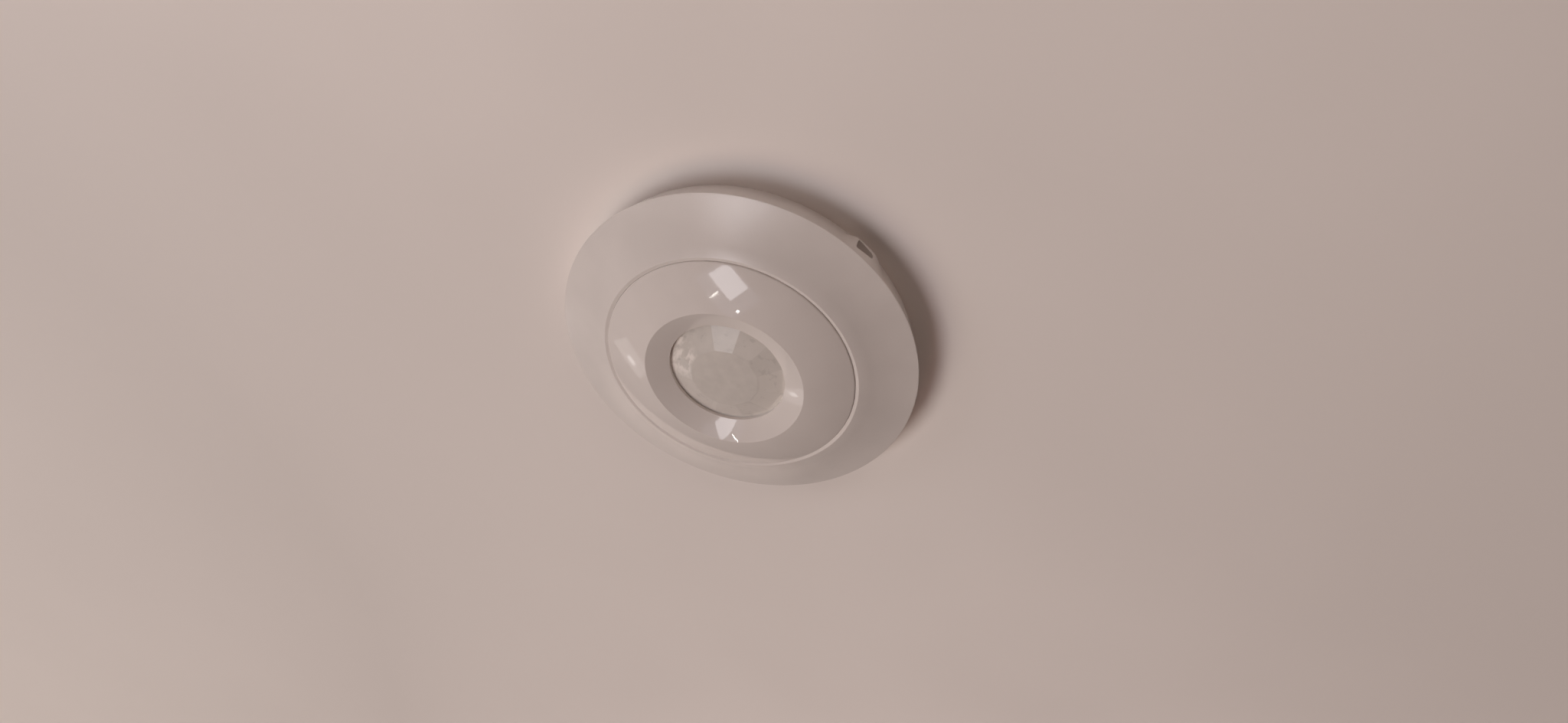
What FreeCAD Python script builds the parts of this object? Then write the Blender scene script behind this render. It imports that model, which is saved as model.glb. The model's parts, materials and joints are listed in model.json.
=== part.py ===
import FreeCAD, Part
import math
import os

# Ceiling motion detector with a round trim ring, a shallow domed housing and a faceted lens.
# The origin is the centre of the face that meets the ceiling. +Z points up into the ceiling and the lens
# looks down, along -Z. A "depth" is a distance below the ceiling face, so a depth d lies at z = -d.
# A "bearing" is an angle in plan, in degrees, counted from -Y towards +X.

V = FreeCAD.Vector
UP = V(0, 0, 1)

# ------------------------------------------------------------------ driving dimensions, in mm
rim_radius = 60.0            # widest part of the trim ring
rim_depth = 10.6             # depth of that widest edge
back_radius = 56.5           # the side wall tapers to this at the ceiling
ring_wall = 2.1              # wall of the trim ring, measured along the radius
seam_radius = 41.35          # hole in the trim ring that the housing shows through
seam_gap = 0.4               # dark line between ring and housing
seam_depth = 18.95           # front of the housing at the seam
lip_width = 1.15             # chamfered lip of the ring beside the seam
crest_radius = 26.3          # sharp crest of the housing
crest_depth = 24.95          # lowest point of the whole detector
aperture_radius = 19.3       # hole that the lens looks through
aperture_depth = 21.4        # lower edge of that hole
lens_seat_depth = 20.2       # lens flange rests here, behind the hole
lens_flange = 0.8            # thickness of the lens flange
lens_skin = 0.75             # thickness of the lens facets
lens_facets = 12             # facets in the outer zone of the lens
base_radius = 53.9           # mounting base, inside the trim ring
base_floor = 2.8             # depth of the floor's inner face
base_recess = 0.8            # the floor stands this far off the ceiling
base_wall_depth = 7.5        # height of the base's rim wall
board_top = 5.6              # circuit board, side towards the ceiling
board_bottom = 7.2           # circuit board, side with the components
board_radius = 44.0
board_width = 46.0
slot_spacing = 60.0          # between the two fixing slots, along X
slot_radius = 2.25           # half the width of a fixing slot
slot_length = 9.0            # end to end, along X
cable_x, cable_y = 31.0, 21.0
cable_bore = 3.0             # radius of the grommet's bore
pry_bearing = 20.8           # slot in the side wall for levering the cover off
pry_width = 6.4
pry_height = 2.8
pry_depth = 6.2              # centre of that slot

# ------------------------------------------------------------------ sizes that follow from them
housing_edge = seam_radius - seam_gap
lip_radius = seam_radius + lip_width
lip_depth = seam_depth - 0.2
flange_top = 12.1            # flange of the housing, behind the ring
flange_bottom = 13.9
flange_radius = 45.6
skirt_inner = housing_edge - 2.05
collar_inner = 22.1          # pocket in the housing that centres the lens
collar_top = 17.6
retainer_post_radius = 28.5  # where the three retainer screws stand
retainer_bearings = (60, 180, 300)
housing_screw_radius = 43.3
housing_screw_bearings = (45, 135, 225, 315)
catch_bearings = (pry_bearing, pry_bearing + 120, pry_bearing + 240)
board_screw_places = [(sx * 17.5, sy * 34.5) for sx in (-1, 1) for sy in (-1, 1)]
lead_places = [(2.54 * math.cos(a), 2.54 * math.sin(a)) for a in map(math.radians, (45, 135, 225))]
shroud_pegs = [(-7.6, 0.0), (7.6, 0.0)]
terminal_ways = 6
terminal_pitch = 3.5
terminal_x, terminal_y = 15.6, 20.6
relay_x, relay_y = -14.0, 21.5
relay_pin_places = [(relay_x + dx, relay_y + dy) for dx in (-3.8, 3.8) for dy in (-5.1, 5.1)]
relay_pin_places.append((relay_x, relay_y - 5.1))
tamper_x, tamper_y = -15.0, -23.0
plunger_tip = 15.6           # depth of the tamper button while the cover holds it in
trimmer_x, trimmer_y = 15.0, -22.0
jumper_places = {"led": (-4.2, -31.5), "pulse": (4.2, -31.5)}
jumper_pitch = 2.54
capacitor_places = [(-15.5, 0.5), (15.5, -3.5)]
led_x, led_y = 0.0, -12.0
regulator_x, regulator_y = 8.2, 12.5


# ------------------------------------------------------------------ shape helpers
def at(x, y, depth):
    return V(x, y, -depth)


def disc(radius, top, bottom, x=0.0, y=0.0):
    """Upright cylinder between two depths."""
    return Part.makeCylinder(radius, bottom - top, at(x, y, bottom), UP)


def tube(inner, outer, top, bottom, x=0.0, y=0.0):
    return disc(outer, top, bottom, x, y).cut(disc(inner, top, bottom, x, y))


def block(size_x, size_y, top, bottom, x=0.0, y=0.0, round_by=0.0):
    """Upright box centred on x, y between two depths, its upright edges rounded if asked."""
    shape = Part.makeBox(size_x, size_y, bottom - top, at(x - size_x / 2, y - size_y / 2, bottom))
    if round_by:
        upright = [e for e in shape.Edges if abs(e.tangentAt(e.FirstParameter).z) > 0.99]
        shape = shape.makeFillet(round_by, upright)
    return shape


def polar(radius, bearing):
    angle = math.radians(bearing)
    return radius * math.sin(angle), -radius * math.cos(angle)


def turned(outline):
    """Solid of revolution about Z. Each corner is (radius, depth), or (radius, depth, rise) when the
    edge that arrives there is an arc, whose middle stands rise further from the ceiling than its chord."""
    edges = []
    previous = outline[-1]
    for corner in outline:
        start, end = at(previous[0], 0, previous[1]), at(corner[0], 0, corner[1])
        if len(corner) == 3:
            chord = end - start
            down = V(chord.z, 0, -chord.x)
            if down.z > 0:
                down = down * -1
            middle = (start + end) * 0.5 + down * (corner[2] / down.Length)
            edges.append(Part.Arc(start, middle, end).toShape())
        else:
            edges.append(Part.makeLine(start, end))
        previous = corner
    face = Part.Face(Part.Wire(edges))
    return face.revolve(V(0, 0, 0), UP, 360)


def fused(shapes):
    return shapes[0].multiFuse(shapes[1:]).removeSplitter()


def group(shapes):
    """Several separate solids that share one node."""
    return Part.makeCompound(shapes)


def swung(shape, bearing):
    """A shape drawn on the -Y side, swung round to a bearing."""
    turned_shape = shape.copy()
    turned_shape.rotate(V(0, 0, 0), UP, bearing)
    return turned_shape


def screw(x, y, seat, length, shank, head, head_height, into=1):
    """Pan-head cross-slot screw. Its head sits on the depth seat and its shank runs away from the head:
    away from the ceiling when into is 1, towards the ceiling when it is -1."""
    def span(first, second):
        return min(first, second), max(first, second)
    shank_span = span(seat, seat + into * length)
    head_span = span(seat, seat - into * head_height)
    body = disc(head, *head_span, x, y)
    crown = [e for e in body.Edges if abs(e.Vertexes[0].Z + seat - into * head_height) < 1e-6 and e.Closed]
    body = body.makeFillet(head_height * 0.45, crown[:1])
    drive = span(seat - into * head_height, seat - into * head_height * 0.45)
    wide, narrow = head * 1.2, head * 0.26
    cross = block(wide, narrow, *drive, x, y).fuse(block(narrow, wide, *drive, x, y))
    return disc(shank, *shank_span, x, y).fuse(body).cut(cross)


# ------------------------------------------------------------------ cover
def trim_ring():
    """Flared matt ring: tapered side wall, crisp front edge, hollow flare and a lip beside the seam."""
    slope = (rim_radius - back_radius) / rim_depth
    outline = [
        (back_radius, 0),
        (rim_radius - 0.5 * slope, rim_depth - 0.5),
        (rim_radius - 0.5, rim_depth + 0.12, 0.15),
        (lip_radius + 0.15, lip_depth - 0.04, -0.75),
        (lip_radius - 0.2, lip_depth - 0.03, 0.05),
        (seam_radius, lip_depth - 0.5),
        (seam_radius, flange_bottom),
        (flange_radius + 0.3, flange_bottom),
        (57.2, 8.9, -0.33),
        (back_radius - ring_wall, 0),
    ]
    ring = turned(outline)
    pilots = [disc(0.9, flange_bottom - 1, 16.6, *polar(housing_screw_radius, b))
              for b in housing_screw_bearings]
    return ring.fuse(pry_hood()).cut(fused(pilots)).cut(pry_slot()).removeSplitter()


def pry_hood():
    """Local swelling of the side wall round the levering slot. Its top slopes back to the wall."""
    flat, foot, face = 3.2, 7.8, 0.1
    plan = [(-foot, -57.0), (-flat, -rim_radius + face), (flat, -rim_radius + face),
            (foot, -57.0), (foot, -54.0), (-foot, -54.0)]
    top, bottom = 0.9, 9.7
    wire = Part.makePolygon([at(x, y, bottom) for x, y in plan + plan[:1]])
    hood = Part.Face(wire).extrude(V(0, 0, bottom - top))
    corners = [e for e in hood.Edges
               if abs(e.tangentAt(e.FirstParameter).z) > 0.99 and e.Vertexes[0].Y < -rim_radius + 1]
    hood = hood.makeFillet(3.0, corners)
    reach = rim_radius + 3
    slope = turned([(back_radius + 0.4, top), (reach, top + reach - back_radius - 0.4), (reach, top)])
    wall_inside = (back_radius - ring_wall, 0), (57.2, 8.9), (57.2, 12), (0, 12), (0, 0)
    return swung(hood.cut(slope).cut(turned(list(wall_inside))), pry_bearing)


def pry_slot():
    slot = Part.makeBox(pry_width, 10, pry_height,
                        at(-pry_width / 2, -rim_radius - 3, pry_depth + pry_height / 2))
    ends = [e for e in slot.Edges if abs(e.tangentAt(e.FirstParameter).y) > 0.99]
    return swung(slot.makeFillet(0.7, ends), pry_bearing)


def dome_housing():
    """Glossy shallow dome with a bevelled well for the lens, a flange behind the ring and inner posts."""
    outline = [
        (housing_edge, seam_depth - 0.35),
        (housing_edge - 0.35, seam_depth + 0.15, 0.1),
        (crest_radius + 0.2, crest_depth - 0.06, 0.4),
        (crest_radius - 0.15, crest_depth - 0.06, 0.06),
        (aperture_radius, aperture_depth),
        (aperture_radius, lens_seat_depth),
        (collar_inner, lens_seat_depth),
        (collar_inner, collar_top),
        (collar_inner + 2, collar_top),
        (collar_inner + 2, 21.9),
        (crest_radius - 0.3, 22.9),
        (skirt_inner, 17.4, 0.3),
        (skirt_inner, flange_top),
        (flange_radius, flange_top),
        (flange_radius, flange_bottom),
        (housing_edge, flange_bottom),
    ]
    shell = turned(outline)
    posts = [disc(2.4, collar_top, 22.3, *polar(retainer_post_radius, b)) for b in retainer_bearings]
    tamper_post = disc(1.6, plunger_tip + 0.3, 23.2, tamper_x, tamper_y)
    holes = [disc(0.8, collar_top, 20.8, *polar(retainer_post_radius, b)) for b in retainer_bearings]
    holes += [disc(1.2, flange_top, flange_bottom, *polar(housing_screw_radius, b))
              for b in housing_screw_bearings]
    return fused([shell, tamper_post] + posts).cut(fused(holes)).removeSplitter()


def polygon(corners, radius, depth, first_bearing):
    places = [polar(radius, first_bearing + 360.0 / corners * i) for i in range(corners + 1)]
    return Part.makePolygon([at(x, y, depth) for x, y in places])


def faceted(levels):
    """Solid of straight-sided tiers; each tier is (corners, radius, depth) to (corners, radius, depth)."""
    tiers = [Part.makeLoft([polygon(*upper, -6), polygon(*lower, -6)], True, True)
             for upper, lower in levels]
    return fused(tiers)


def fresnel_lens():
    """Moulded lens array: a flat flange, an outer zone of sloping facets and a hexagonal inner zone."""
    rim, waist, crown = 18.8, 11.2, 5.2
    waist_depth, crown_depth = 23.6, 24.2
    fall = (waist_depth - lens_seat_depth) / (rim - waist)
    lens_top = lens_seat_depth - lens_flange
    inner_top = lens_top - 0.1
    inner_rim = waist + (waist_depth - lens_skin - inner_top) / fall
    outside = faceted([
        ((lens_facets, rim, lens_seat_depth - 0.2), (lens_facets, rim, lens_seat_depth)),
        ((lens_facets, rim, lens_seat_depth), (lens_facets, waist, waist_depth)),
        ((6, waist, waist_depth), (6, crown, crown_depth)),
    ])
    inside = faceted([
        ((lens_facets, inner_rim, inner_top), (lens_facets, waist, waist_depth - lens_skin)),
        ((6, waist - 0.3, waist_depth - lens_skin), (6, crown, crown_depth - lens_skin)),
    ])
    flange = disc(21.8, lens_top, lens_seat_depth)
    return flange.fuse(outside).cut(inside).removeSplitter()


def lens_retainer():
    """Ring that presses the lens flange onto its seat, held by three screws through its ears."""
    plate_top = collar_top - 1.4
    plate = tube(19.8, collar_inner + 2, plate_top, collar_top)
    plug = tube(20.0, collar_inner - 0.2, plate_top, lens_seat_depth - lens_flange)
    ears = []
    for bearing in retainer_bearings:
        x, y = polar(retainer_post_radius, bearing)
        web = block(5.2, retainer_post_radius - 22, plate_top, collar_top,
                    0, -(retainer_post_radius + 22) / 2)
        ears += [disc(2.6, plate_top, collar_top, x, y), swung(web, bearing)]
    holes = fused([disc(1.15, plate_top, collar_top, *polar(retainer_post_radius, b))
                   for b in retainer_bearings])
    return fused([plate, plug] + ears).cut(holes)


def retainer_screws():
    return group([screw(*polar(retainer_post_radius, b), collar_top - 1.4, 4.4, 0.75, 2.0, 1.2)
                  for b in retainer_bearings])


def housing_screws():
    return group([screw(*polar(housing_screw_radius, b), flange_top, 4.2, 0.85, 1.6, 1.1)
                  for b in housing_screw_bearings])


# ------------------------------------------------------------------ base
def mounting_base():
    """Shallow tray: recessed and ribbed towards the ceiling, with posts and snap fingers inside."""
    contact_band = 4.2
    floor = disc(base_radius - 1, base_recess, base_floor)
    band = tube(base_radius - contact_band, base_radius, 0, base_floor)
    wall = tube(base_radius - 1.7, base_radius, 0, base_wall_depth)
    hub = tube(13.6, 15.2, 0, base_recess + 0.1)
    ribs = [swung(block(1.4, 44.5, 0, base_recess + 0.1, 0, -28.25), 30 + 60 * i) for i in range(6)]
    pads = [block(18, 13, 0, base_recess + 0.1, side * slot_spacing / 2, 0, 3) for side in (-1, 1)]
    posts = [disc(2.7, base_floor - 0.1, board_top, x, y) for x, y in board_screw_places]
    gussets = [block(1.0, 9.0, base_floor - 0.1, board_top - 1.2, x, y) for x, y in board_screw_places]
    fingers = [swung(block(10, 1.6, base_wall_depth - 0.1, 9.4, 0, -base_radius + 1.0), b)
               for b in catch_bearings]
    fingers = [f.common(tube(base_radius - 1.7, base_radius, 0, 10)) for f in fingers]
    centre = disc(7.0, 0, base_recess + 0.1)
    tray = fused([floor, band, wall, hub, centre] + ribs + pads + posts + gussets + fingers)

    cuts = [fixing_slot(side) for side in (-1, 1)]
    cuts.append(disc(4.65, 0, base_floor + 1, cable_x, cable_y))
    cuts.append(disc(6.9, 0, base_recess, cable_x, cable_y))
    cuts += [disc(1.1, 2.2, board_top + 1, x, y) for x, y in board_screw_places]
    for bearing in catch_bearings:
        for side in (-1, 1):
            slit = block(1.0, 4, base_floor, 10, side * 5.8, -base_radius)
            cuts.append(swung(slit, bearing))
    return tray.cut(fused(cuts)).removeSplitter()


def fixing_slot(side):
    """Obround slot along X through the floor."""
    half = slot_length / 2 - slot_radius
    x = side * slot_spacing / 2
    ends = [disc(slot_radius, -1, base_floor + 1, x + end * half, 0) for end in (-1, 1)]
    return fused(ends + [block(2 * half, 2 * slot_radius, -1, base_floor + 1, x, 0)])


def cable_grommet():
    """Rubber bush in the cable hole."""
    bush = fused([disc(6.3, 0.1, base_recess, cable_x, cable_y),
                  disc(4.6, base_recess, base_floor, cable_x, cable_y),
                  disc(6.3, base_floor, 3.9, cable_x, cable_y)])
    return bush.cut(disc(cable_bore, 0, 5, cable_x, cable_y))


def circuit_board():
    board = disc(board_radius, board_top, board_bottom)
    board = board.common(block(board_width, 2 * board_radius, board_top, board_bottom))
    holes = [disc(1.3, board_top, board_bottom, x, y) for x, y in board_screw_places]
    holes += [disc(0.4, board_top, board_bottom, x, y) for x, y in lead_places + relay_pin_places]
    holes += [disc(1.05, board_top, board_bottom, x, y) for x, y in shroud_pegs]
    holes += [disc(0.5, board_top, board_bottom, x, y) for x, y in jumper_pin_places()]
    holes += [disc(0.6, board_top, board_bottom, terminal_x + 1.5, y) for y in terminal_rows()]
    return board.cut(fused(holes))


def board_screws():
    return group([screw(x, y, board_bottom, 4.4, 1.05, 2.3, 1.6, -1) for x, y in board_screw_places])


# ------------------------------------------------------------------ sensor
can_seat = board_bottom + 0.8
can_front = 12.2


def sensor_spacer():
    holes = fused([disc(0.35, board_bottom, can_seat, x, y) for x, y in lead_places])
    return disc(4.5, board_bottom, can_seat).cut(holes)


def sensor_can():
    """Round metal can with a rim at its foot, a window in its front and a locating tab."""
    header = disc(4.6, can_seat, can_seat + 0.6)
    cap = tube(3.85, 4.1, can_seat + 0.6, can_front).fuse(disc(4.1, can_front - 0.25, can_front))
    front_edge = [e for e in cap.Edges if abs(e.BoundBox.ZMax + can_front) < 1e-6 and e.BoundBox.XLength > 8]
    cap = cap.makeFillet(0.2, front_edge)
    tab = swung(block(0.9, 1.0, can_seat, can_seat + 0.4, 0, -5.0), 135)
    window = block(4.0, 3.0, can_front - 1, can_front + 1)
    return fused([header, cap, tab]).cut(window)


def sensor_window():
    return block(4.8, 3.8, can_front - 0.7, can_front - 0.25)


def sensor_element():
    """Ceramic carrier with its two sensing strips."""
    carrier = block(4.4, 3.4, can_front - 2.0, can_front - 1.5)
    legs = [block(0.8, 3.4, can_seat + 0.6, can_front - 2.0, side * 1.8, 0) for side in (-1, 1)]
    strips = [block(1.0, 2.0, can_front - 1.5, can_front - 1.35, side * 1.0, 0) for side in (-1, 1)]
    return fused([carrier] + legs + strips)


def sensor_leads():
    return group([disc(0.23, 4.4, can_seat, x, y) for x, y in lead_places])


def sensor_shroud():
    """Collar that keeps insects and draughts off the sensor."""
    outline = [(5.8, board_bottom), (9.4, board_bottom), (9.4, board_bottom + 1.0),
               (7.4, board_bottom + 1.2), (8.1, 11.0), (7.1, 11.0), (6.0, board_bottom + 1.4)]
    pegs = [disc(0.95, 5.9, board_bottom + 0.1, x, y) for x, y in shroud_pegs]
    return fused([turned(outline)] + pegs)


# ------------------------------------------------------------------ wiring terminals
terminal_foot = 15.2
terminal_width = 7.2


def terminal_rows():
    first = terminal_y - terminal_pitch * (terminal_ways - 1) / 2
    return [first + terminal_pitch * i for i in range(terminal_ways)]


def terminal_block():
    """Moulding with a cell, a wire mouth and a screwdriver hole for each way."""
    length = terminal_pitch * terminal_ways + 0.6
    body = block(terminal_width, length, board_bottom, terminal_foot, terminal_x, terminal_y)
    outer = [e for e in body.Edges if e.BoundBox.ZMax < -terminal_foot + 1e-6
             and e.BoundBox.YLength > 5 and e.BoundBox.XMin > terminal_x]
    body = body.makeChamfer(1.0, outer)
    cuts = []
    for y in terminal_rows():
        cuts.append(block(5.2, 2.9, board_bottom, 13.3, terminal_x, y))
        cuts.append(block(5.0, 2.5, 9.5, 11.9, terminal_x + 3.0, y))
        cuts.append(disc(1.35, 13.0, terminal_foot + 1, terminal_x, y))
    return body.cut(fused(cuts))


def terminal_clamps():
    """Brass cages, each with a solder tail through the board."""
    cages = []
    for y in terminal_rows():
        cage = block(4.4, 2.7, 8.4, 12.9, terminal_x, y)
        cage = cage.cut(block(5.0, 2.2, 9.4, 12.0, terminal_x, y))
        cage = cage.cut(disc(1.1, 11.5, 13.5, terminal_x, y))
        tail = disc(0.5, 4.3, 8.5, terminal_x + 1.5, y)
        cages.append(cage.fuse(tail))
    return group(cages)


def terminal_screws():
    """Slotted clamp screws, heads towards the room."""
    screws = []
    for y in terminal_rows():
        body = disc(1.05, 10.6, 13.1, terminal_x, y).fuse(disc(1.25, 13.0, 14.0, terminal_x, y))
        screws.append(body.cut(block(3.0, 0.45, 13.5, 14.1, terminal_x, y)))
    return group(screws)


# ------------------------------------------------------------------ board components
def relay_case():
    case = block(10.0, 15.0, board_bottom + 0.2, 15.2, relay_x, relay_y, 0.8)
    lower = [e for e in case.Edges if e.BoundBox.ZMax < -15.2 + 1e-6]
    return case.makeFillet(0.5, lower)


def relay_pins():
    return group([disc(0.3, 4.4, board_bottom + 0.2, x, y) for x, y in relay_pin_places])


spring_floor = board_bottom + 0.85
spring_head = 9.9
pocket_end = 13.0


def tamper_switch():
    """Switch case with a bore for the plunger and a pocket for its spring."""
    case = block(7.0, 7.0, board_bottom, pocket_end + 0.6, tamper_x, tamper_y, 0.6)
    case = case.fuse(disc(2.6, pocket_end, pocket_end + 1.2, tamper_x, tamper_y))
    pocket = disc(2.4, board_bottom + 0.8, pocket_end, tamper_x, tamper_y)
    bore = disc(1.36, 11, 15, tamper_x, tamper_y)
    return case.cut(pocket).cut(bore)


def tamper_plunger():
    """Round button with a collar that stops it in the switch. The cover holds it pressed in."""
    stem = disc(1.3, spring_head + 0.05, plunger_tip, tamper_x, tamper_y)
    tip = [e for e in stem.Edges if e.Closed and e.BoundBox.ZMax < -plunger_tip + 0.1]
    stem = stem.makeFillet(0.6, tip)
    return stem.fuse(disc(2.1, spring_head + 0.05, spring_head + 0.45, tamper_x, tamper_y))


def tamper_spring():
    """Coil spring between the floor of the switch case and the plunger's collar."""
    wire, coil_radius, turns = 0.14, 1.6, 3.5
    length = spring_head - spring_floor - 2 * wire
    helix = Part.makeHelix(length / turns, length, coil_radius)
    section = Part.Wire([Part.makeCircle(wire, V(coil_radius, 0, 0), V(0, 1, 0))])
    coil = Part.Wire(helix.Edges).makePipeShell([section], True, True)
    coil.translate(at(tamper_x, tamper_y, spring_head - wire))
    return coil


def trimmer_body():
    body = block(7.0, 7.0, board_bottom, 10.9, trimmer_x, trimmer_y, 0.4)
    return body.cut(disc(2.36, 9.0, 12, trimmer_x, trimmer_y))


def trimmer_rotor():
    """Screwdriver-slotted rotor of the range control, with an arrow notch at one end of its slot."""
    rotor = disc(2.3, 9.1, 11.5, trimmer_x, trimmer_y)
    slot = block(0.7, 4.0, 10.7, 11.6, trimmer_x, trimmer_y)
    notch = block(1.6, 0.9, 10.7, 11.6, trimmer_x, trimmer_y - 1.9)
    return rotor.cut(slot).cut(notch)


def jumper_pin_places():
    return [(x + side * jumper_pitch / 2, y) for x, y in jumper_places.values() for side in (-1, 1)]


jumper_seat = board_bottom + 1.6
pin_tip = 13.3


def jumper_headers():
    blocks = []
    for x, y in jumper_places.values():
        header = block(2 * jumper_pitch, 2.5, board_bottom, jumper_seat, x, y)
        for side in (-1, 1):
            header = header.cut(block(0.66, 0.66, 6, 10, x + side * jumper_pitch / 2, y))
        blocks.append(header)
    return group(blocks)


def jumper_pins():
    return group([block(0.6, 0.6, 4.4, pin_tip, x, y) for x, y in jumper_pin_places()])


def jumper_cap(name):
    """Pull-off cap over two pins."""
    x, y = jumper_places[name]
    cap = block(2 * jumper_pitch, 2.4, jumper_seat + 0.15, pin_tip + 0.4, x, y, 0.4)
    for side in (-1, 1):
        cap = cap.cut(block(0.78, 0.78, 8, 15, x + side * jumper_pitch / 2, y))
    ridge = block(3.6, 3.0, pin_tip - 1.0, pin_tip - 0.4, x, y)
    return cap.fuse(ridge.cut(block(3.7, 2.3, 10, 14, x, y)))


def capacitor_cans():
    cans = []
    for x, y in capacitor_places:
        can = disc(3.15, board_bottom + 0.9, 13.0, x, y)
        lip = [e for e in can.Edges if e.Closed and e.BoundBox.ZMax < -12.9]
        cans.append(can.makeFillet(0.4, lip))
    return group(cans)


def capacitor_bases():
    return group([block(6.6, 6.6, board_bottom, board_bottom + 0.9, x, y, 1.0)
                  for x, y in capacitor_places])


def microcontroller():
    chip = block(3.9, 9.9, board_bottom + 0.2, board_bottom + 1.75, 0, -21.5)
    return chip.cut(disc(0.4, board_bottom + 1.6, board_bottom + 2, -1.2, -17.6))


def microcontroller_leads():
    leads = []
    for row in range(8):
        y = -21.5 + 1.27 * (row - 3.5)
        for side in (-1, 1):
            foot = block(0.9, 0.42, board_bottom, board_bottom + 0.2, side * 2.65, y)
            rise = block(0.2, 0.42, board_bottom, board_bottom + 1.0, side * 2.3, y)
            shoulder = block(0.45, 0.42, board_bottom + 0.8, board_bottom + 1.0, side * 2.175, y)
            leads.append(fused([foot, rise, shoulder]))
    return group(leads)


def walk_test_led():
    body = block(3.2, 2.8, board_bottom, board_bottom + 1.4, led_x, led_y)
    lens = Part.makeSphere(1.2, at(led_x, led_y, board_bottom + 1.2))
    return body.fuse(lens.common(block(3, 3, board_bottom + 1.3, board_bottom + 4, led_x, led_y)))


def voltage_regulator():
    x, y = regulator_x, regulator_y
    body = block(4.5, 2.5, board_bottom + 0.05, board_bottom + 1.5, x, y)
    tabs = [block(0.5, 1.2, board_bottom, board_bottom + 0.4, x + dx, y - 1.6) for dx in (-1.5, 0, 1.5)]
    return group([body, *[t.cut(body) for t in tabs]])


chip_grid = [(-9.0, -9.0), (-9.0, -12.0), (-9.0, -15.0), (8.5, -12.0), (8.5, -15.0), (8.5, -18.0),
             (-5.5, 11.5), (-2.0, 11.5), (1.5, 11.5), (-6.0, 30.5), (6.5, 30.5), (-6.0, 34.5)]


def chip_parts(places, long_side, short_side, height):
    return group([block(long_side, short_side, board_bottom, board_bottom + height, x, y)
                  for x, y in places])


def chip_resistors():
    return chip_parts(chip_grid[::2], 2.0, 1.25, 0.5)


def chip_capacitors():
    return chip_parts(chip_grid[1::2], 2.0, 1.25, 0.9)


# ------------------------------------------------------------------ one file for each piece
pieces = {
    "trim_ring": trim_ring,
    "dome_housing": dome_housing,
    "fresnel_lens": fresnel_lens,
    "lens_retainer": lens_retainer,
    "retainer_screws": retainer_screws,
    "housing_screws": housing_screws,
    "mounting_base": mounting_base,
    "cable_grommet": cable_grommet,
    "circuit_board": circuit_board,
    "board_screws": board_screws,
    "sensor_spacer": sensor_spacer,
    "sensor_can": sensor_can,
    "sensor_window": sensor_window,
    "sensor_element": sensor_element,
    "sensor_leads": sensor_leads,
    "sensor_shroud": sensor_shroud,
    "terminal_block": terminal_block,
    "terminal_clamps": terminal_clamps,
    "terminal_screws": terminal_screws,
    "relay_case": relay_case,
    "relay_pins": relay_pins,
    "tamper_switch": tamper_switch,
    "tamper_plunger": tamper_plunger,
    "tamper_spring": tamper_spring,
    "trimmer_body": trimmer_body,
    "trimmer_rotor": trimmer_rotor,
    "jumper_headers": jumper_headers,
    "jumper_pins": jumper_pins,
    "jumper_cap_led": lambda: jumper_cap("led"),
    "jumper_cap_pulse": lambda: jumper_cap("pulse"),
    "capacitor_cans": capacitor_cans,
    "capacitor_bases": capacitor_bases,
    "microcontroller": microcontroller,
    "microcontroller_leads": microcontroller_leads,
    "walk_test_led": walk_test_led,
    "voltage_regulator": voltage_regulator,
    "chip_resistors": chip_resistors,
    "chip_capacitors": chip_capacitors,
}

os.makedirs("parts", exist_ok=True)
for name, make in pieces.items():
    piece = make()
    if not piece.isValid() or not piece.Solids:
        raise ValueError(name + " is not a valid solid")
    piece.exportStep("parts/" + name + ".step")
    print(name, len(piece.Solids), round(piece.Volume, 1))
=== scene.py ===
"""Looks of a round ceiling motion detector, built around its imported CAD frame.

The origin is the centre of the face that meets the ceiling, +Z points up into the ceiling, and the lens
looks down. Names that end in _mm and the numbers given to the mesh helpers are millimetres, and everything
else is metres. A "depth" is a distance below the ceiling face, and a "bearing" is an angle in plan, in
degrees, counted from -Y towards +X.
"""
import bpy
import bmesh
import json
import math
from mathutils import Matrix, Quaternion, Vector


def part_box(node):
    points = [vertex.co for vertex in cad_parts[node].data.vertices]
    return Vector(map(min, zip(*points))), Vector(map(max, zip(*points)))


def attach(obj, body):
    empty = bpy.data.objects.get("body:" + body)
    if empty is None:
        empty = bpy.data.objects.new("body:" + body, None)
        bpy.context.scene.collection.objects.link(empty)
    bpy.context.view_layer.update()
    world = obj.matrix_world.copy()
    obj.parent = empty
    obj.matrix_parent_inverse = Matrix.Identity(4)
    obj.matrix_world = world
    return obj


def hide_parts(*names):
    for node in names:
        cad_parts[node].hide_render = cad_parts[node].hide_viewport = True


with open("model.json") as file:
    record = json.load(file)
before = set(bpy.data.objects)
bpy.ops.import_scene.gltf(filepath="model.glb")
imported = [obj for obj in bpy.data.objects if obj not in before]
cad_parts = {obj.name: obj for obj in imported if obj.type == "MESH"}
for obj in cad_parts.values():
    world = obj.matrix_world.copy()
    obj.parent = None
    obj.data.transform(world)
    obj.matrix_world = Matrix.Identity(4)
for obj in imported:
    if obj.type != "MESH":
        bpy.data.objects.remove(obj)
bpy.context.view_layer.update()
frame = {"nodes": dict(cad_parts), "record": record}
MM = 0.001
SHARP_ANGLE = 32.0


# ------------------------------------------------------------------ sizes read from the frame, in mm
def top_depth_mm(node):
    return -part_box(node)[1].z / MM


def bottom_depth_mm(node):
    return -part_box(node)[0].z / MM


def reach_mm(node):
    """Outer radius of a round node."""
    low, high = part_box(node)
    return max(-low.x, high.x, -low.y, high.y) / MM


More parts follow.
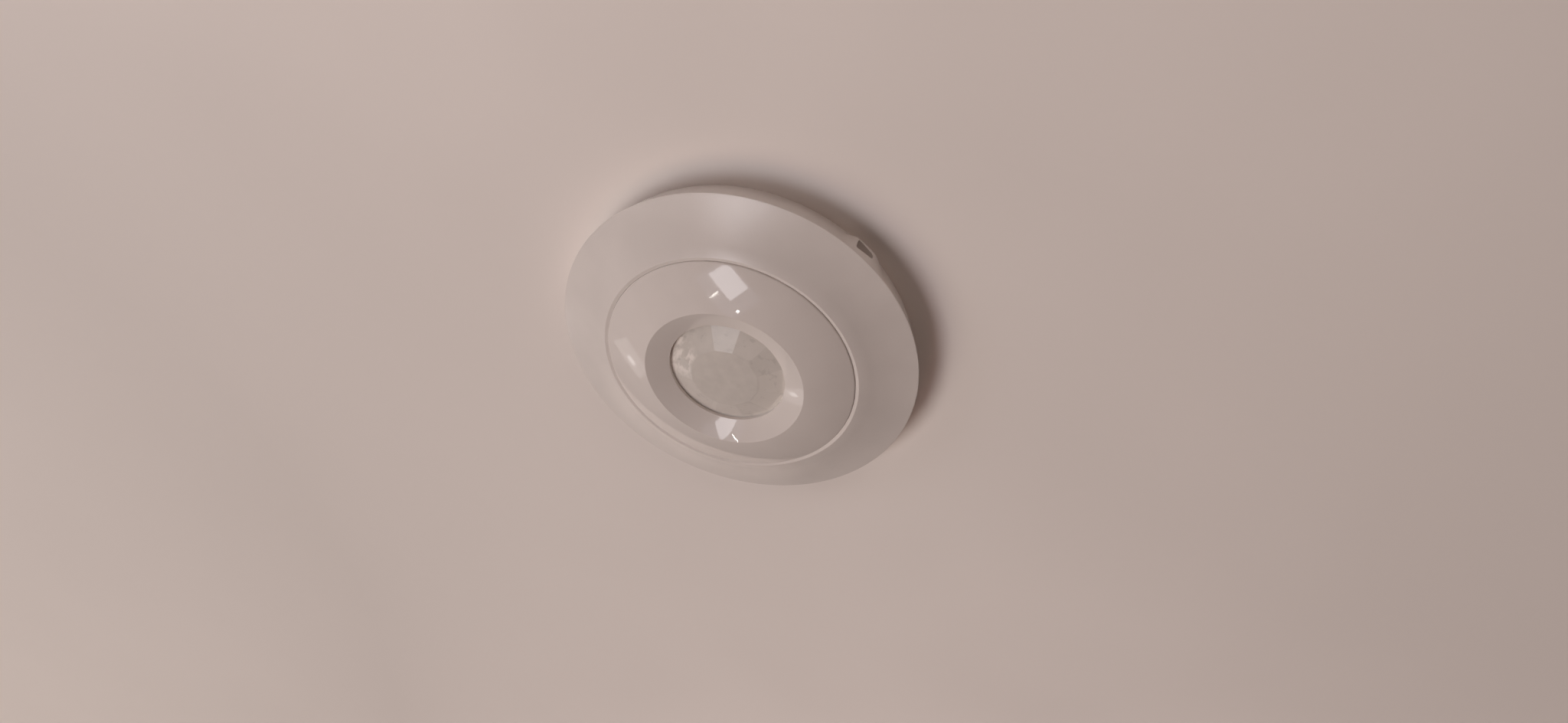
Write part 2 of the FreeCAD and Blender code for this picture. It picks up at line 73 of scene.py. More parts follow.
crest_depth_mm = bottom_depth_mm("dome_housing")
ring_front_mm = bottom_depth_mm("trim_ring")
flange_radius_mm = reach_mm("dome_housing")
flange_top_mm = top_depth_mm("dome_housing")
lens_top_mm = top_depth_mm("fresnel_lens")
lens_bottom_mm = bottom_depth_mm("fresnel_lens")
lens_flange_radius_mm = reach_mm("fresnel_lens")

board_face_mm = bottom_depth_mm("circuit_board")
board_side_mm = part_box("circuit_board")[1].x / MM

# ------------------------------------------------------------------ sizes of the shapes drawn here, in mm
# trim ring: the side wall widens from the back to the rim, and the front runs by a knee to the lip
rim_radius_mm, rim_depth_mm = 60.0, 10.6
back_radius_mm = 56.5
ring_wall_mm = 2.1
ring_knee_mm = (46.5, 16.72)
ring_inner_corner_mm = (57.2, 8.9)
lip_radius_mm = 42.5

# seam between the ring and the dome housing
seam_radius_mm = 41.35
seam_gap_mm = 0.06
seam_floor_mm = 18.0

# dome housing: it rises to a crest, and a bevelled well leads from there to the lens
flange_bottom_mm = 13.9
crest_radius_mm = 26.3
aperture_radius_mm, aperture_depth_mm = 19.3, 21.4
collar_radius_mm, collar_top_mm = 22.1, 17.6
collar_wall_mm = 2.0
skirt_wall_mm = 2.05
skirt_foot_mm = 17.4
well_back_mm = (crest_radius_mm - 0.3, 22.9)
retainer_bearings, retainer_post_mm = (60, 180, 300), 28.5
post_root_mm, pilot_end_mm = 22.6, 20.8
housing_screw_bearings, housing_screw_mm = (45, 135, 225, 315), 43.3

# levering slot, taller at one end, in a place where the side wall stands out like a hood
pry_bearing = 20.8
pry_width_mm, pry_height_mm, pry_depth_mm, pry_inward_mm = 6.4, 2.8, 6.2, 6.0
pry_stretch, pry_taper = 1.05, 0.12
# depths between which the hood rises, and bearings from the slot at which it ends and at which it is flat
hood_top_mm, hood_full_mm = 0.9, 4.0
hood_left, hood_right = (7.7, 3.0), (10.5, 2.6)

# lens: equal facets round the axis, the first one starting at a bearing, with grid columns across each
lens_seat_mm = 20.2
lens_waist_mm = 11.2
facet_count, facet_angle, first_ridge = 12, 30.0, -6.0
lens_columns = 8

# base and board
base_floor_mm = 2.8
track_mm, hole_mm, legend_mm = 0.32, 0.18, 0.16


# ------------------------------------------------------------------ mesh helpers
def polar(radius, bearing):
    angle = math.radians(bearing)
    return radius * math.sin(angle), -radius * math.cos(angle)


def rounded(corners, steps=5):
    """Closed outline from corners (radius, depth, rounding): each corner becomes an arc of that rounding."""
    points = []
    for i, corner in enumerate(corners):
        here = Vector(corner[:2])
        round_by = corner[2] if len(corner) > 2 else 0.0
        before = Vector(corners[i - 1][:2]) - here
        after = Vector(corners[(i + 1) % len(corners)][:2]) - here
        if not round_by:
            points.append(here)
            continue
        half = before.angle(after) / 2
        reach = min(round_by / math.tan(half), 0.45 * before.length, 0.45 * after.length)
        start, end = here + before.normalized() * reach, here + after.normalized() * reach
        for k in range(steps + 1):
            t = k / steps
            points.append(start * (1 - t) ** 2 + here * 2 * t * (1 - t) + end * t ** 2)
    return points


def bowed(start, end, rise, steps=24):
    """Corners along an arc from start to end whose middle stands rise further from the ceiling."""
    a, b = Vector(start[:2]), Vector(end[:2])
    across = Vector((-(b - a).y, (b - a).x)).normalized()
    if across.y < 0:
        across.negate()
    return [tuple(a.lerp(b, k / steps) + across * rise * 4 * (k / steps) * (1 - k / steps))
            for k in range(1, steps)]


def link_object(name, data):
    made = bpy.data.objects.new(name, data)
    bpy.context.scene.collection.objects.link(made)
    return made


def smooth_shade(mesh, sharp=SHARP_ANGLE):
    """Smooth shading but for edges that turn more than sharp degrees."""
    mesh.shade_smooth()
    mesh.set_sharp_from_angle(angle=math.radians(sharp))


def new_object(name, bm, sharp=SHARP_ANGLE):
    """Object from a bmesh in mm."""
    bmesh.ops.recalc_face_normals(bm, faces=bm.faces)
    mesh = bpy.data.meshes.new(name)
    bm.to_mesh(mesh)
    bm.free()
    mesh.transform(Matrix.Scale(MM, 4))
    smooth_shade(mesh, sharp)
    return link_object(name, mesh)


def band(bm, low, high):
    """Adds a row of faces between two rings of vertices."""
    for i in range(len(low)):
        j = (i + 1) % len(low)
        bm.faces.new((low[i], low[j], high[j], high[i]))


def bridge(bm, rings, ends="open"):
    """Adds faces from each ring of vertices to the next. The ends stay open, get a cap or are joined."""
    for low, high in zip(rings, rings[1:]):
        band(bm, low, high)
    if ends == "joined":
        band(bm, rings[-1], rings[0])
    if ends == "capped":
        bm.faces.new(rings[0])
        bm.faces.new(rings[-1])


def circle(bm, x, y, radius, depth, segments):
    """Adds a level ring of vertices to a bmesh in mm."""
    turns = [2 * math.pi * i / segments for i in range(segments)]
    return [bm.verts.new((x + radius * math.cos(a), y + radius * math.sin(a), -depth)) for a in turns]


def lathe(outline, bearings, swell=None):
    """Bmesh in mm: a closed outline of (radius, depth) turned through the bearings. swell(bearing, radius,
    depth) may give a wider radius."""
    bm = bmesh.new()
    rings = []
    for bearing in bearings:
        ring = []
        for radius, depth in outline:
            wide = swell(bearing, radius, depth) if swell else radius
            ring.append(bm.verts.new((*polar(wide, bearing), -depth)))
        rings.append(ring)
    bridge(bm, rings, "joined")
    return bm


def even_bearings(count):
    return [360.0 * i / count for i in range(count)]


def rod(bm, x, y, top, bottom, radius, segments=32, chamfer=0.0):
    """Adds an upright closed cylinder between two depths to a bmesh in mm."""
    levels = [(radius, top + chamfer), (radius, bottom - chamfer)]
    if chamfer:
        levels = [(radius - chamfer, top), *levels, (radius - chamfer, bottom)]
    bridge(bm, [circle(bm, x, y, r, depth, segments) for r, depth in levels], "capped")


def collar(bm, x, y, outer, inner, top, bottom, segments=20):
    """Adds an upright ring between two depths to a bmesh in mm."""
    corners = (outer, top), (outer, bottom), (inner, bottom), (inner, top)
    bridge(bm, [circle(bm, x, y, r, depth, segments) for r, depth in corners], "joined")


def rounded_bar(bm, size, centre, rounding, segments=4):
    """Adds a box with rounded edges to a bmesh in mm."""
    made = bmesh.ops.create_cube(bm, size=1.0)["verts"]
    bmesh.ops.scale(bm, vec=size, verts=made)
    bmesh.ops.translate(bm, vec=centre, verts=made)
    edges = list(dict.fromkeys(e for v in made for e in v.link_edges))
    bmesh.ops.bevel(bm, geom=edges, offset=rounding, segments=segments, profile=0.5, affect="EDGES")


def combine(target, tool, operation):
    """Boolean of two objects, applied; the tool is removed."""
    modifier = target.modifiers.new(operation, "BOOLEAN")
    modifier.operation = operation
    modifier.solver = "EXACT"
    modifier.object = tool
    depsgraph = bpy.context.evaluated_depsgraph_get()
    mesh = bpy.data.meshes.new_from_object(target.evaluated_get(depsgraph))
    target.modifiers.clear()
    target.data = mesh
    bpy.data.objects.remove(tool)
    smooth_shade(mesh)


# ------------------------------------------------------------------ node helpers
class Shader:
    """Small builder for one procedural material, in the object's own coordinates."""

    def __init__(self, name):
        self.material = bpy.data.materials.new(name)
        self.material.use_nodes = True
        self.tree = self.material.node_tree
        self.bsdf = self.tree.nodes["Principled BSDF"]
        self.place = self.node("TexCoord").outputs["Object"]

    def node(self, kind):
        return self.tree.nodes.new("ShaderNode" + kind)

    def link(self, source, target):
        self.tree.links.new(source, target)

    def noise(self, size_mm, detail=3.0, roughness=0.5, stretch=None):
        node = self.node("TexNoise")
        node.inputs["Scale"].default_value = 1.0 / (size_mm * MM)
        node.inputs["Detail"].default_value = detail
        node.inputs["Roughness"].default_value = roughness
        place = self.place
        if stretch:
            mapping = self.node("Mapping")
            mapping.inputs["Scale"].default_value = stretch
            self.link(self.place, mapping.inputs["Vector"])
            place = mapping.outputs["Vector"]
        self.link(place, node.inputs["Vector"])
        return node.outputs["Fac"]

    def remap(self, value, low, high, to_low, to_high):
        node = self.node("MapRange")
        limits = {"From Min": low, "From Max": high, "To Min": to_low, "To Max": to_high}
        for socket, number in limits.items():
            node.inputs[socket].default_value = number
        self.link(value, node.inputs["Value"])
        return node.outputs["Result"]

    def mix(self, factor, first, second):
        """Colour mix; first and second are colours or sockets."""
        node = self.node("Mix")
        node.data_type = "RGBA"
        self.link(factor, node.inputs["Factor"])
        for socket, value in (("A", first), ("B", second)):
            target = [s for s in node.inputs if s.name == socket and s.type == "RGBA"][0]
            if isinstance(value, tuple):
                target.default_value = (*value[:3], 1.0)
            else:
                self.link(value, target)
        return [s for s in node.outputs if s.type == "RGBA"][0]

    def math(self, operation, first, second=0.0):
        node = self.node("Math")
        node.operation = operation
        for socket, value in zip(node.inputs, (first, second)):
            if isinstance(value, (int, float)):
                socket.default_value = value
            else:
                self.link(value, socket)
        return node.outputs["Value"]

    def vector(self, operation, first, second=None, output="Vector"):
        node = self.node("VectorMath")
        node.operation = operation
        for socket, value in zip(node.inputs, (first, second)):
            if isinstance(value, tuple):
                socket.default_value = value
            elif value is not None:
                self.link(value, socket)
        return node.outputs[output]

    def split(self, vector):
        """The X, Y and Z sockets of a vector."""
        node = self.node("SeparateXYZ")
        self.link(vector, node.inputs["Vector"])
        return [node.outputs[axis] for axis in "XYZ"]

    def bump(self, height, depth_mm, strength, below=None):
        node = self.node("Bump")
        node.inputs["Strength"].default_value = strength
        node.inputs["Distance"].default_value = depth_mm * MM
        self.link(height, node.inputs["Height"])
        if below:
            self.link(below, node.inputs["Normal"])
        return node.outputs["Normal"]

    def set(self, **values):
        """Sets or links inputs of the material's main node, and gives the material."""
        for name, value in values.items():
            socket = self.bsdf.inputs[name.replace("_", " ")]
            if isinstance(value, bpy.types.NodeSocket):
                self.link(value, socket)
            elif isinstance(value, tuple):
                socket.default_value = (*value[:3], 1.0)
            else:
                socket.default_value = value
        return self.material


def tinted(colour, factors):
    return tuple(min(1.0, c * f) for c, f in zip(colour, factors))


def shade(colour, factor):
    return tinted(colour, (factor, factor, factor))


record_colours = {m["slot"]: tuple(m["base_color"][:3]) for m in frame["record"]["materials"]}


# ------------------------------------------------------------------ materials
def matt_moulding(name, colour, grain_mm, roughness):
    """Spark-eroded matt plastic: fine grain, faint flow marks and a little dust in the grain."""
    s = Shader(name)
    flow = s.noise(22.0, 2.0)
    grain = s.noise(grain_mm, 2.0)
    base = s.mix(s.remap(flow, 0.35, 0.65, 0, 1), shade(colour, 0.97), shade(colour, 1.03))
    base = s.mix(s.remap(grain, 0.55, 0.8, 0, 0.35), base, shade(colour, 0.88))
    rough = s.remap(s.noise(14.0, 1.0), 0.3, 0.7, roughness - 0.015, roughness + 0.015)
    normal = s.bump(grain, 0.004, 0.5, s.bump(s.noise(18.0, 1.0), 0.02, 0.3))
    return s.set(Base_Color=base, Roughness=rough, Normal=normal)


def polished_moulding(name, colour, roughness):
    """Polished plastic: faint smears, hairline wipe marks and a trace of moulding waviness."""
    s = Shader(name)
    smear = s.remap(s.noise(7.0, 4.0, 0.6), 0.5, 0.8, roughness, roughness + 0.07)
    hair = s.remap(s.noise(0.8, 3.0, 0.5, (1.0, 0.06, 1.0)), 0.62, 0.75, 0.0, 0.05)
    base = s.mix(s.remap(s.noise(16.0), 0.3, 0.7, 0, 1), shade(colour, 0.98), shade(colour, 1.02))
    normal = s.bump(s.noise(6.0, 1.5), 0.006, 0.6, s.bump(s.noise(0.5, 2.0), 0.0008, 0.5))
    return s.set(Base_Color=base, Roughness=s.math("ADD", smear, hair), Normal=normal,
                 Specular_IOR_Level=0.55)


def milky_lens(name, colour):
    """Milky lens sheet. It scatters light inside, so slopes differ little in tone, under a satin skin that
    shows them as they are. In the outer zone each facet has a tone of its own. The grooves on the side that
    faces the window get a painted glint, and painted dark flecks stand where dark inner parts show through."""
    s = Shader(name)
    colour = tinted(colour, (0.84, 0.825, 0.815))
    flat = s.vector("MULTIPLY", s.place, (1.0, 1.0, 0.0))
    radius = s.vector("LENGTH", flat, output="Value")
    outer = s.remap(radius, (lens_waist_mm - 0.2) * MM, (lens_waist_mm + 0.6) * MM, 0, 1)
    x, y, _ = s.split(s.place)
    bearing = s.math("ARCTAN2", x, s.math("MULTIPLY", y, -1.0))
    turned = s.math("SUBTRACT", bearing, math.radians(first_ridge))
    facet = s.node("TexWhiteNoise")
    facet.noise_dimensions = "1D"
    s.link(s.math("FLOOR", s.math("DIVIDE", turned, math.radians(facet_angle))), facet.inputs["W"])
    # painted highlight: outer-zone grooves on the side facing the window are painted lighter in place of
    # their glint
    side = s.vector("DOT_PRODUCT", s.vector("NORMALIZE", flat), (-0.99, 0.12, 0.0), "Value")
    painted_glint = s.math("MULTIPLY", outer, s.remap(side, 0.84, 0.96, 0, 1))
    painted_glint = s.math("MULTIPLY", painted_glint, s.remap(s.noise(2.6, 2.0, 0.6, (1.0, 0.5, 1.0)), 0.46, 0.6, 0.0, 1))
    # painted dark flecks: darker spots in the outer zone in place of dark inner parts seen through the lens
    painted_dark_fleck = s.math("MULTIPLY", outer, s.remap(s.noise(3.6, 2.0, 0.6, (1.0, 1.0, 3.0)), 0.6, 0.68, 0, 0.3))
    base = s.mix(s.remap(s.noise(3.5, 3.0), 0.3, 0.7, 0, 1), shade(colour, 0.96), shade(colour, 1.04))
    tone = s.math("MULTIPLY", outer, s.math("MULTIPLY", facet.outputs["Value"], 0.7))
    base = s.mix(tone, base, shade(colour, 1.16))
    # the painted flecks darken and the painted glint lightens the lens colour here
    base = s.mix(painted_dark_fleck, base, shade(colour, 0.66))
    base = s.mix(painted_glint, base, tinted(colour, (1.36, 1.36, 1.38)))
    facing = s.node("NewGeometry").outputs["Normal"]
    scattered = s.vector("NORMALIZE", s.vector("ADD", facing, (0.0, 0.0, -1.7)))
    coat = s.bump(s.noise(5.0, 1.0), 0.01, 0.3)
    return s.set(Base_Color=base, Roughness=0.6, Normal=scattered, Specular_IOR_Level=0.1,
                 Transmission_Weight=0.12, IOR=1.5, Coat_Weight=0.7, Coat_Normal=coat,
                 Coat_Roughness=s.remap(s.noise(4.0, 1.0), 0.3, 0.7, 0.2, 0.26))


def metal(name, colour, roughness, grain_mm=0.35):
    """Plated metal with fine drawing marks and small stains."""
    s = Shader(name)
    marks = s.noise(grain_mm, 3.0, 0.6, (1.0, 1.0, 6.0))
    stain = s.remap(s.noise(1.8, 3.0), 0.5, 0.8, 0, 0.6)
    base = s.mix(stain, colour, shade(colour, 0.72))
    rough = s.remap(marks, 0.3, 0.7, roughness - 0.07, roughness + 0.1)
    return s.set(Base_Color=base, Roughness=rough, Metallic=1.0, Normal=s.bump(marks, 0.004, 0.4))


def dark_moulding(name, colour, roughness=0.45):
    """Filled black or coloured component plastic with a fine mineral grain."""
    s = Shader(name)
    grain = s.noise(0.12, 2.0)
    base = s.mix(s.remap(grain, 0.45, 0.7, 0, 0.5), colour, shade(colour, 1.5))
    rough = s.remap(s.noise(1.5), 0.3, 0.7, roughness - 0.08, roughness + 0.08)
    return s.set(Base_Color=base, Roughness=rough, Normal=s.bump(grain, 0.006, 0.5))


def soft_rubber(name, colour):
    """Rubber with a pale bloom in patches."""
    s = Shader(name)
    bloom = s.remap(s.noise(2.4, 4.0, 0.6), 0.4, 0.75, 0, 0.5)
    base = s.mix(bloom, colour, (0.22, 0.21, 0.20))
    return s.set(Base_Color=base, Roughness=s.remap(s.noise(0.5), 0.3, 0.7, 0.7, 0.85),
                 Normal=s.bump(s.noise(0.25, 3.0), 0.015, 0.6))


def laminate(name, colour):
    """Circuit board: resist over a woven glass core, with tan edges where it is cut."""
    s = Shader(name)
    weave = s.node("TexWave")
    weave.inputs["Scale"].default_value = 1.0 / (6.6 * MM)
    weave.inputs["Distortion"].default_value = 0.6
    s.link(s.place, weave.inputs["Vector"])
    cloth = s.remap(weave.outputs["Fac"], 0, 1, 0, 0.12)
    resist = s.mix(cloth, colour, shade(colour, 1.35))
    resist = s.mix(s.remap(s.noise(5.0), 0.4, 0.7, 0, 0.25), resist, shade(colour, 0.8))
    _, _, upright = s.split(s.node("NewGeometry").outputs["True Normal"])
    flat = s.math("GREATER_THAN", s.math("ABSOLUTE", upright), 0.5)
    base = s.mix(flat, (0.52, 0.44, 0.24), resist)
    return s.set(Base_Color=base, Roughness=s.remap(s.noise(2.0), 0.3, 0.7, 0.22, 0.34),
                 Normal=s.bump(weave.outputs["Fac"], 0.01, 0.35))


def clear_resin(name, colour):
    """Tinted resin that lets some light through."""
    s = Shader(name)
    base = s.mix(s.remap(s.noise(0.9), 0.3, 0.7, 0, 1), shade(colour, 0.94), colour)
    return s.set(Base_Color=base, Roughness=s.remap(s.noise(0.5), 0.3, 0.7, 0.08, 0.2),
                 Transmission_Weight=0.35, Normal=s.bump(s.noise(0.6), 0.004, 0.4))


makers = {
    "ring_plastic": lambda n, c: matt_moulding(n, c, 0.22, 0.24),
    "housing_plastic": lambda n, c: polished_moulding(n, tinted(c, (0.975, 0.963, 0.96)), 0.04),
    "lens_plastic": milky_lens,
    "base_plastic": lambda n, c: matt_moulding(n, c, 0.35, 0.5),
    "grommet_rubber": soft_rubber,
    "board_laminate": laminate,
    "screw_steel": lambda n, c: metal(n, c, 0.3),
    "can_metal": lambda n, c: metal(n, c, 0.22),
    "filter_window": lambda n, c: polished_moulding(n, c, 0.08),
    "sensing_ceramic": lambda n, c: dark_moulding(n, c, 0.6),
    "spacer_plastic": dark_moulding,
    "tinned_leads": lambda n, c: metal(n, c, 0.26),
    "terminal_plastic": lambda n, c: dark_moulding(n, c, 0.34),
    "clamp_brass": lambda n, c: metal(n, c, 0.3),
    "relay_plastic": lambda n, c: polished_moulding(n, c, 0.3),
    "switch_plastic": dark_moulding,
    "button_plastic": lambda n, c: dark_moulding(n, c, 0.36),
    "spring_steel": lambda n, c: metal(n, c, 0.3),
    "trimmer_plastic": lambda n, c: dark_moulding(n, c, 0.32),
    "rotor_plastic": lambda n, c: dark_moulding(n, c, 0.4),
    "pin_metal": lambda n, c: metal(n, c, 0.2),
    "jumper_plastic": lambda n, c: dark_moulding(n, c, 0.36),
    "capacitor_aluminium": lambda n, c: metal(n, c, 0.32, 0.2),
    "chip_plastic": lambda n, c: dark_moulding(n, c, 0.5),
    "led_plastic": clear_resin,
}
materials = {slot: maker(slot, record_colours[slot]) for slot, maker in makers.items()}


def dress_frame():
    """Gives every CAD node the finished material of its slot."""
    for part in frame["record"]["subparts"]:
        mesh = frame["nodes"][part["node"]].data
        mesh.materials.clear()
        mesh.materials.append(materials[part["material_slot"]])


def finish_piece(made, body, slot, *replaced):
    """Gives a drawn piece its material and its body, and hides the CAD nodes that it stands for."""
    made.data.materials.clear()
    made.data.materials.append(materials[slot])
    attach(made, body)
    if replaced:
        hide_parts(*replaced)
    return made


# ------------------------------------------------------------------ cover
def ease(t):
    """Smooth step from 0 to 1."""
    t = min(1.0, max(0.0, t))
    return t * t * (3 - 2 * t)


def side_wall_radius(depth):
    return back_radius_mm + (rim_radius_mm - back_radius_mm) * depth / rim_depth_mm


def hood_swell(bearing, radius, depth):
    """The side wall stands out round the levering slot and slopes back to the wall above it. Only the outer
    face moves, and not the last bit of it before the rim."""
    foot, flat = hood_left if bearing < pry_bearing else hood_right
    away = abs(bearing - pry_bearing)
    before_rim, face_depth = 0.3, 0.25
    if away > foot or depth > rim_depth_mm - before_rim or radius < side_wall_radius(depth) - face_depth:
        return radius
    full_radius = rim_radius_mm - 0.12
    share = ease((foot - away) / (foot - flat)) * ease((depth - hood_top_mm) / (hood_full_mm - hood_top_mm))
    return max(radius, radius + (full_radius - radius) * share)


def make_trim_ring():
    """Flared matt ring with a small lip at the seam and a levering slot under a hood. Rows down its side
    wall and finer columns round the slot let the hood curve."""
    wall = [(side_wall_radius(depth), depth) for depth in (0.5 + 0.4 * i for i in range(25))]
    rim = (rim_radius_mm, rim_depth_mm, 0.5)
    crest = (lip_radius_mm, ring_front_mm + 0.04, 0.22)
    inner_foot = (flange_radius_mm + 0.3, flange_bottom_mm)
    corners = [(back_radius_mm, 0, 0.15), *wall, rim, *bowed(rim, ring_knee_mm, -0.3), ring_knee_mm,
               *bowed(ring_knee_mm, crest, 0.06, 8), crest,
               (seam_radius_mm, ring_front_mm - 0.24, 0.12), (seam_radius_mm, flange_bottom_mm, 0),
               inner_foot, *bowed(inner_foot, ring_inner_corner_mm, -0.33, 8),
               (*ring_inner_corner_mm, 0.6), (back_radius_mm - ring_wall_mm, 0, 0.15)]
    hood_end, fine_step = hood_right[0], 0.25
    fine_count = round(hood_end / fine_step)
    bearings = [b for b in even_bearings(360) if abs(b - pry_bearing) > hood_end + 2 * fine_step]
    bearings += [pry_bearing + fine_step * i for i in range(-fine_count, fine_count + 1)]
    ring = new_object("trim_ring_moulding", lathe(rounded(corners), sorted(bearings), hood_swell))
    bm = bmesh.new()
    bar = (pry_width_mm, 2 * pry_inward_mm, pry_height_mm)
    rounded_bar(bm, bar, (0, -rim_radius_mm, -pry_depth_mm), 0.7)
    for v in bm.verts:
        v.co.z = -pry_depth_mm + (v.co.z + pry_depth_mm) * (pry_stretch - pry_taper * v.co.x)
    bmesh.ops.rotate(bm, verts=bm.verts, matrix=Matrix.Rotation(math.radians(pry_bearing), 3, "Z"))
    combine(ring, new_object("slot_tool", bm), "DIFFERENCE")
    return finish_piece(ring, "cover", "ring_plastic", "trim_ring")


def make_dome_housing():
    """Glossy dome with a bevelled well, and inside it a collar round the lens, posts and screw holes."""
    edge = seam_radius_mm - seam_gap_mm
    seam = (edge, ring_front_mm + 0.2, 0.5)
    crest = (crest_radius_mm, crest_depth_mm + 0.02, 0.22)
    skirt = edge - skirt_wall_mm
    flange_inner = seam_radius_mm - 0.04
    collar_outer = collar_radius_mm + collar_wall_mm
    corners = [seam, *bowed(seam, crest, 0.4), crest, (aperture_radius_mm, aperture_depth_mm, 0.14),
               (aperture_radius_mm, lens_seat_mm, 0), (collar_radius_mm, lens_seat_mm, 0),
               (collar_radius_mm, collar_top_mm, 0.1), (collar_outer, collar_top_mm, 0.1),
               (collar_outer, well_back_mm[1] - 1.0, 0), well_back_mm,
               *bowed(well_back_mm, (skirt, skirt_foot_mm), 0.3, 10),
               (skirt, skirt_foot_mm, 0.5), (skirt, flange_top_mm, 0.1),
               (flange_radius_mm, flange_top_mm, 0.1), (flange_radius_mm, flange_bottom_mm, 0),
               (flange_inner, flange_bottom_mm, 0), (flange_inner, seam_floor_mm, 0),
               (edge, seam_floor_mm, 0.1)]
    housing = new_object("dome_housing_moulding", lathe(rounded(corners), even_bearings(480)))
    posts = bmesh.new()
    for bearing in retainer_bearings:
        rod(posts, *polar(retainer_post_mm, bearing), collar_top_mm, post_root_mm, 2.4, chamfer=0.2)
    low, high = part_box("tamper_plunger")
    x, y, _ = (low + high) / 2 / MM
    rod(posts, x, y, bottom_depth_mm("tamper_plunger") + 0.3, post_root_mm + 0.6, 1.6, chamfer=0.2)
    combine(housing, new_object("post_tool", posts), "UNION")
    holes = bmesh.new()
    for bearing in retainer_bearings:
        rod(holes, *polar(retainer_post_mm, bearing), collar_top_mm - 1, pilot_end_mm, 0.8, 20)
    for bearing in housing_screw_bearings:
        rod(holes, *polar(housing_screw_mm, bearing), flange_top_mm - 1, flange_bottom_mm + 1, 1.2, 20)
    combine(housing, new_object("hole_tool", holes), "DIFFERENCE")
    return finish_piece(housing, "cover", "housing_plastic", "dome_housing")


# ------------------------------------------------------------------ lens
def patch(bm, corners, levels, lifts, bow=0.0, bulge=0.0):
    """Adds a grid over four corners, from the edge 0-1 (level 0) to the edge 2-3 (level 1). Each level is
    lifted towards the room; bow curves the inner levels and bulge crowns the whole patch."""
    a, b, c, d = corners
    rows = []
    for level, lift in zip(levels, lifts):
        row = []
        for i in range(lens_columns + 1):
            u = i / lens_columns
            arch = 4 * u * (1 - u)
            bent = level + bow * level * (1 - level) * arch
            place = a.lerp(b, u).lerp(c.lerp(d, u), bent)
            place.z -= lift + bulge * arch * 4 * level * (1 - level)
            row.append(bm.verts.new(place))
        rows.append(row)
    for low, high in zip(rows, rows[1:]):
        for i in range(lens_columns):
            bm.faces.new((low[i], low[i + 1], high[i + 1], high[i]))


def saw_teeth(count, height):
    """Levels and lifts of a toothed patch, flat at both of its ends."""
    levels, lifts = [0.0], [0.0]
    for j in range(count):
        levels += [(j + 0.05) / count, (j + 0.95) / count]
        lifts += [height, 0.0]
    return levels + [1.0], lifts + [0.0]


def lens_skin(bm, rim, waist, crown, toothed):
    """Adds one side of the lens: twelve sloping facets, twelve shallow ones inside them and a six-part
    crown. rim, waist and crown are (radius, depth). Gives the points along the rim."""
    def corner(level, bearing):
        return Vector((*polar(level[0], bearing), -level[1]))

    smooth = [j / 6 for j in range(7)], [0.0] * 7
    centre = Vector((0, 0, -crown[1]))
    for i in range(facet_count):
        left, right = first_ridge + facet_angle * i, first_ridge + facet_angle * (i + 1)
        start = left - facet_angle * (i % 2)
        side = corner(crown, start), corner(crown, start + 2 * facet_angle)
        middle = side[0].lerp(side[1], 0.5)
        inner = (side[0], middle) if i % 2 == 0 else (middle, side[1])
        outer = corner(waist, left), corner(waist, right)
        edge = corner(rim, left), corner(rim, right)
        zones = ((outer + edge, 13, 0.2, 0.3, 0.04), (inner + outer, 9, 0.14, 0.1, 0.015),
                 ((centre, centre) + inner, 8, 0.12, 0.0, 0.0))
        for corners, teeth, height, bow, bulge in zones:
            if toothed:
                patch(bm, corners, *saw_teeth(teeth, height), bow)
            else:
                patch(bm, corners, *smooth, 0.0, bulge)
    edge = [corner(rim, first_ridge + facet_angle * i) for i in range(facet_count + 1)]
    shares = [k / lens_columns for k in range(lens_columns)]
    return [start.lerp(end, share) for start, end in zip(edge, edge[1:]) for share in shares]


def make_lens():
    """Milky lens array with fine saw-tooth grooves on the sensor side and a flat clamping flange."""
    bm = bmesh.new()
    room = lens_skin(bm, rim=(18.8, lens_seat_mm), waist=(lens_waist_mm, 23.6), crown=(5.2, lens_bottom_mm),
                     toothed=False)
    sensor = lens_skin(bm, rim=(18.9, lens_top_mm), waist=(lens_waist_mm - 0.2, 22.85), crown=(5.1, 23.45),
                       toothed=True)
    edge, chamfer = lens_flange_radius_mm, 0.1
    flange = [(edge - chamfer, lens_seat_mm), (edge, lens_seat_mm - chamfer), (edge, lens_top_mm + chamfer),
              (edge - chamfer, lens_top_mm)]
    count = len(room)
    rings = [[bm.verts.new(p) for p in room]]
    for radius, depth in flange:
        rings.append([bm.verts.new((*polar(radius, first_ridge + b), -depth)) for b in even_bearings(count)])
    rings.append([bm.verts.new(p) for p in sensor])
    bridge(bm, rings)
    bmesh.ops.remove_doubles(bm, verts=bm.verts, dist=1e-4)
    bmesh.ops.dissolve_degenerate(bm, edges=bm.edges, dist=1e-5)
    return finish_piece(new_object("lens_moulding", bm, 1.5), "cover", "lens_plastic", "fresnel_lens")


# ------------------------------------------------------------------ circuit board and base details
def solids_mm(node):
    """Lowest and highest corners, in mm, of each separate solid of a CAD node."""
    bm = bmesh.new()
    bm.from_mesh(frame["nodes"][node].data)
    bmesh.ops.remove_doubles(bm, verts=bm.verts, dist=1e-6)
    boxes, left = [], set(bm.verts)
    while left:
        found, waiting = [], [left.pop()]
        while waiting:
            vert = waiting.pop()
            found.append(vert.co / MM)
            for other in (e.other_vert(vert) for e in vert.link_edges):
                if other in left:
                    left.remove(other)
                    waiting.append(other)
        boxes.append(tuple(tuple(pick(v[k] for v in found) for k in range(3)) for pick in (min, max)))
    bm.free()
    return sorted(boxes)


